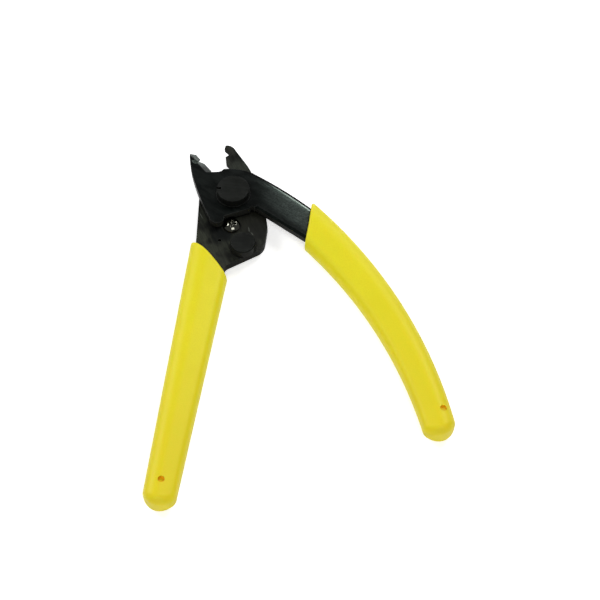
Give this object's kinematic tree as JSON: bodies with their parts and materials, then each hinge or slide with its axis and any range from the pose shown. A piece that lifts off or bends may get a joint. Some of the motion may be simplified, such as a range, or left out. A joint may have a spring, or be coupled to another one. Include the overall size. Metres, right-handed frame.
{
  "type": "fibre stripper",
  "caption": "Pliers-type fibre optic stripper with bypass jaws, notched for buffer and coating, a sprung pivot under a round cap, stops and yellow vinyl grips, one of them curved.",
  "frame": {"origin": "on the pivot's axis, on the back face of the pivot screw's head, which the tool rests on", "axes": "+Y along the straight grip's centreline towards the jaws, +X towards the curved grip, +Z out of the front of the tool"},
  "size_m": [0.0998, 0.1394, 0.0106],
  "materials": {
    "front_steel": "glossy black oxide",
    "rear_steel": "semi-matte black oxide with grinding marks",
    "dark_steel": "black oxide",
    "nickel": "bright nickel plate",
    "bronze": "sintered bronze",
    "spring_steel": "drawn music wire",
    "grip_vinyl": "satin moulded vinyl"
  },
  "bodies": {
    "straight_side": {"rear_lever": "rear_steel", "straight_grip": "grip_vinyl", "pivot_screw": "dark_steel", "spring_cap": "dark_steel", "stop_screw": "nickel", "stop_screw_washer": "nickel", "stop_screw_nut": "nickel", "stop_post": "dark_steel", "stop_post_screw": "dark_steel"},
    "curved_side": {"front_lever": "front_steel", "curved_grip": "grip_vinyl", "pivot_bush": "bronze", "thrust_washer": "dark_steel", "return_spring": "spring_steel"}
  },
  "joints": [
    {"name": "lever_pivot", "type": "hinge", "parent": "straight_side", "child": "curved_side", "pos_m": [0, 0, 0.00625], "axis": [0, 0, 1], "range_deg": [-31, 0], "stiffness_Nm_per_rad": 0.4, "springref_deg": 28.65}
  ]
}
